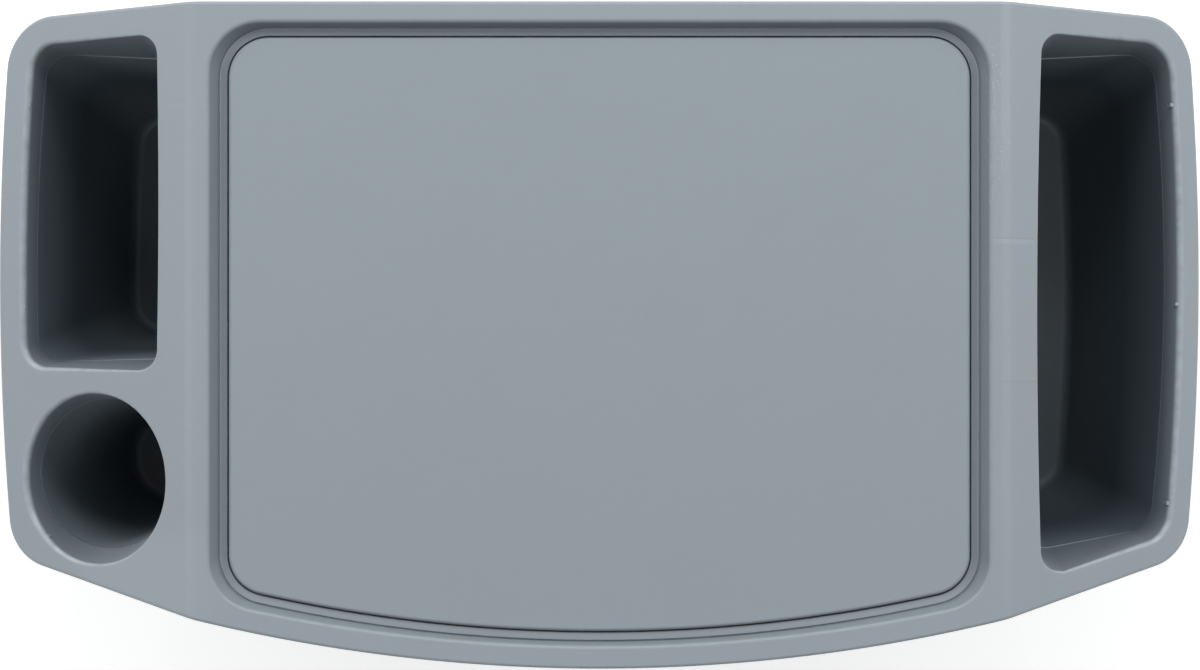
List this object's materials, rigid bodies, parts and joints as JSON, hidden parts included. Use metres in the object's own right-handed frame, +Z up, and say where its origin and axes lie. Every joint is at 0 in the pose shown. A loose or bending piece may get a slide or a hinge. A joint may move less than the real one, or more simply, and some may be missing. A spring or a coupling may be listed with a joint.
{
  "type": "bed tray",
  "caption": "Moulded bed tray: a level top with a lift-out centre panel, wings bent down at both sides, and deep pockets and a cup well in the wings that stand as its legs.",
  "frame": {"origin": "on the floor that the tray stands on, under the middle of its bounding box", "axes": "+X to the right-hand side of the person using the tray, +Y to the straight back edge, +Z up"},
  "size_m": [0.6226, 0.3264, 0.214],
  "materials": {
    "deck_plastic": "satin moulded blue-grey",
    "panel_plastic": "satin moulded blue-grey, a little darker than the deck",
    "left_pocket_plastic": "satin moulded blue-grey",
    "right_pocket_plastic": "satin moulded blue-grey",
    "cup_well_plastic": "satin moulded blue-grey",
    "screw_steel": "zinc plated"
  },
  "bodies": {
    "tray": {"tray_deck": "deck_plastic", "left_pocket_bin": "left_pocket_plastic", "right_pocket_bin": "right_pocket_plastic", "cup_well": "cup_well_plastic", "left_pocket_screw_1": "screw_steel", "left_pocket_screw_2": "screw_steel", "left_pocket_screw_3": "screw_steel", "left_pocket_screw_4": "screw_steel", "right_pocket_screw_1": "screw_steel", "right_pocket_screw_2": "screw_steel", "right_pocket_screw_3": "screw_steel", "right_pocket_screw_4": "screw_steel", "right_pocket_screw_5": "screw_steel", "right_pocket_screw_6": "screw_steel", "cup_well_screw_1": "screw_steel", "cup_well_screw_2": "screw_steel", "cup_well_screw_3": "screw_steel", "cup_well_screw_4": "screw_steel"},
    "panel": {"centre_panel": "panel_plastic"}
  },
  "joints": [
    {"name": "panel_lift", "type": "slide", "parent": "tray", "child": "panel", "axis": [0, 0, 1], "range_m": [0, 0.06]}
  ]
}
